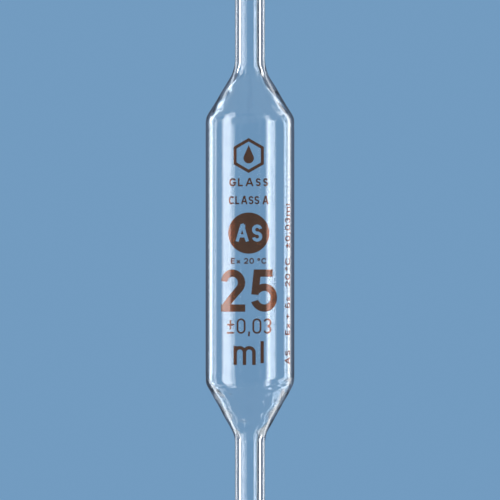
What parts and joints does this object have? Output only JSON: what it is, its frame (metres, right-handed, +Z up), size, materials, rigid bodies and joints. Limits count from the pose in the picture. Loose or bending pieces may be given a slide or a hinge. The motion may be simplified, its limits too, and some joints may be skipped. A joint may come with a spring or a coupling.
{
  "type": "volumetric pipette",
  "caption": "One-mark volumetric pipette in clear glass: slim tubes with a cylindrical bulb, a ring mark, a drawn jet and an amber printed legend.",
  "frame": {"origin": "centre of the jet's end face, at the lowest point of the pipette", "axes": "+Z up along the pipette's axis from the jet to the mouth, -Y the side that the printed legend faces, +X to the right of the legend as it is read"},
  "size_m": [0.021, 0.021, 0.52],
  "materials": {
    "clear_glass": "clear, fire-polished",
    "amber_stain": "fired amber-brown stain, translucent, glossy",
    "blue_enamel": "fired enamel, opaque, glossy"
  },
  "bodies": {
    "root": {"suction_tube": "clear_glass", "upper_shoulder": "clear_glass", "bulb_barrel": "clear_glass", "lower_shoulder": "clear_glass", "delivery_tube": "clear_glass", "jet_tip": "clear_glass", "ring_mark": "amber_stain", "emblem": "amber_stain", "material_word": "amber_stain", "class_word": "amber_stain", "class_badge": "amber_stain", "temperature_mark": "amber_stain", "capacity_number": "amber_stain", "tolerance_mark": "amber_stain", "unit_mark": "amber_stain", "side_legend": "amber_stain", "colour_code_band": "blue_enamel"}
  },
  "joints": []
}
